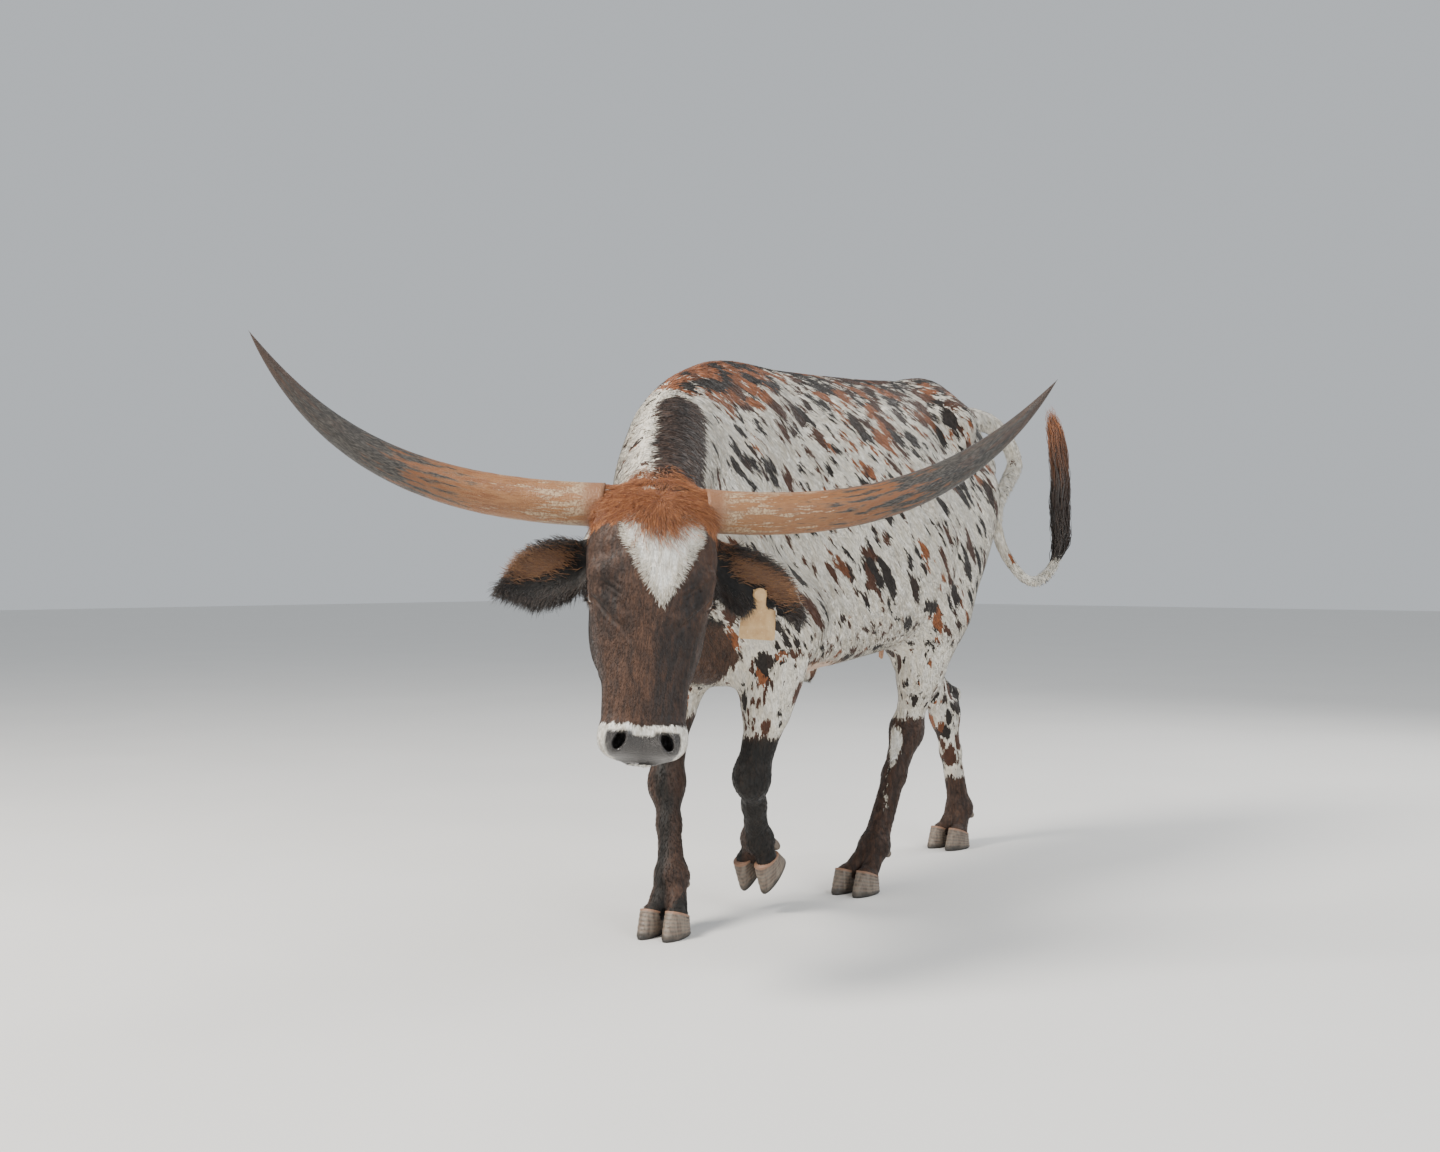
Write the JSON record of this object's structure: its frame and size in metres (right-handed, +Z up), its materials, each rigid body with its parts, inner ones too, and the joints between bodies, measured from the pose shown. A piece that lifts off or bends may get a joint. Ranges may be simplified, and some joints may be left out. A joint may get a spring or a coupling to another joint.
{
  "type": "texas longhorn cow model",
  "caption": "Life-size still model of a walking longhorn cow, head lowered and turned to her left, with long curved horns, cupped ears, an ear tag and a raised tail.",
  "frame": {"origin": "on the floor, under the middle of the box round the whole cow, horns and tail included", "axes": "+Z up, the trunk lies along Y with the cow facing -Y, and her left side is +X"},
  "size_m": [1.089, 2.4372, 1.3217],
  "materials": {
    "hide": "short flat coat, white to cream with black, rust and brown speckles",
    "dark_hide": "short sleek coat, dark brown to black with a rust poll and white marks",
    "horn": "satin, cream at the base, grey and tan along its length, dark tips",
    "hoof": "satin, weathered horn",
    "eye": "wet gloss, dark brown",
    "long_hair": "long coarse wavy hair, black to rust",
    "bare_skin": "thin bare skin, pink to tan",
    "tag": "matt flexible plastic, yellow"
  },
  "bodies": {
    "root": {"claw_foreleg_left_inner": "hoof", "claw_foreleg_left_outer": "hoof", "claw_foreleg_right_inner": "hoof", "claw_foreleg_right_outer": "hoof", "claw_hindleg_left_inner": "hoof", "claw_hindleg_left_outer": "hoof", "claw_hindleg_right_inner": "hoof", "claw_hindleg_right_outer": "hoof", "dewclaw_foreleg_left_inner": "hoof", "dewclaw_foreleg_left_outer": "hoof", "dewclaw_foreleg_right_inner": "hoof", "dewclaw_foreleg_right_outer": "hoof", "dewclaw_hindleg_left_inner": "hoof", "dewclaw_hindleg_left_outer": "hoof", "dewclaw_hindleg_right_inner": "hoof", "dewclaw_hindleg_right_outer": "hoof", "ear_left": "dark_hide", "ear_right": "dark_hide", "ear_tag_plate": "tag", "ear_tag_stud": "tag", "eye_left": "eye", "eye_right": "eye", "foreleg_left": "hide", "foreleg_right": "hide", "head": "dark_hide", "hindleg_left": "hide", "hindleg_right": "hide", "horn_left": "horn", "horn_right": "horn", "neck": "hide", "tail": "hide", "tail_switch": "long_hair", "torso": "hide", "udder": "bare_skin"}
  },
  "joints": []
}
